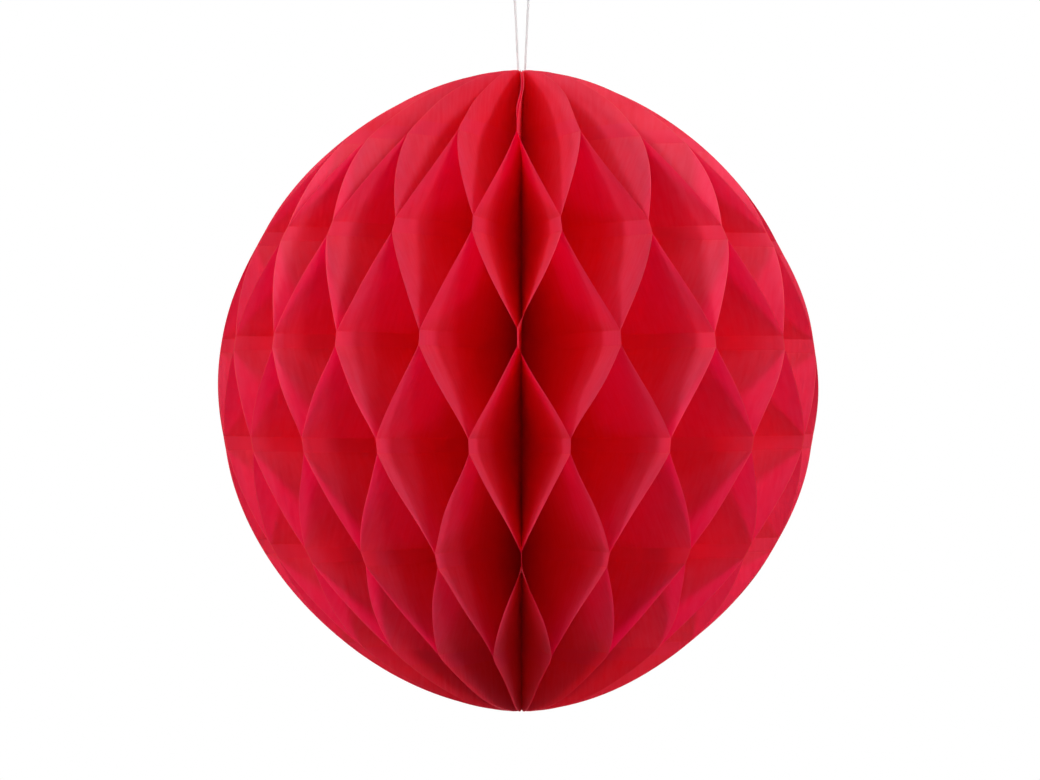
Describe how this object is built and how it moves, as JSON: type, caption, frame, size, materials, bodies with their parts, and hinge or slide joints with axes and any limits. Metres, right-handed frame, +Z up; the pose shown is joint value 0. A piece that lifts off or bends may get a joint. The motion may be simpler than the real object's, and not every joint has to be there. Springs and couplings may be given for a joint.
{
  "type": "honeycomb paper ball",
  "caption": "Hanging party decoration: a round ball of glued tissue leaves opened into honeycomb cells, on a doubled thread loop.",
  "frame": {"origin": "the point that the thread loop hangs from, at the underside of its top, on the ball's upright axis", "axes": "+Z up along the ball's axis, -Y towards the front, where the first and the last leaf meet, +X to the right of it"},
  "size_m": [0.2782, 0.2778, 0.3456],
  "materials": {
    "red_tissue": "matte",
    "white_cotton": "matte"
  },
  "bodies": {
    "root": {"leaf_01": "red_tissue", "leaf_02": "red_tissue", "leaf_03": "red_tissue", "leaf_04": "red_tissue", "leaf_05": "red_tissue", "leaf_06": "red_tissue", "leaf_07": "red_tissue", "leaf_08": "red_tissue", "leaf_09": "red_tissue", "leaf_10": "red_tissue", "leaf_11": "red_tissue", "leaf_12": "red_tissue", "leaf_13": "red_tissue", "leaf_14": "red_tissue", "leaf_15": "red_tissue", "leaf_16": "red_tissue", "leaf_17": "red_tissue", "leaf_18": "red_tissue", "leaf_19": "red_tissue", "leaf_20": "red_tissue", "leaf_21": "red_tissue", "leaf_22": "red_tissue", "leaf_23": "red_tissue", "leaf_24": "red_tissue", "leaf_25": "red_tissue", "leaf_26": "red_tissue", "leaf_27": "red_tissue", "leaf_28": "red_tissue", "leaf_29": "red_tissue", "leaf_30": "red_tissue", "leaf_31": "red_tissue", "leaf_32": "red_tissue", "leaf_33": "red_tissue", "leaf_34": "red_tissue", "leaf_35": "red_tissue", "leaf_36": "red_tissue", "leaf_37": "red_tissue", "leaf_38": "red_tissue", "leaf_39": "red_tissue", "leaf_40": "red_tissue", "hanging_thread": "white_cotton"}
  },
  "joints": []
}
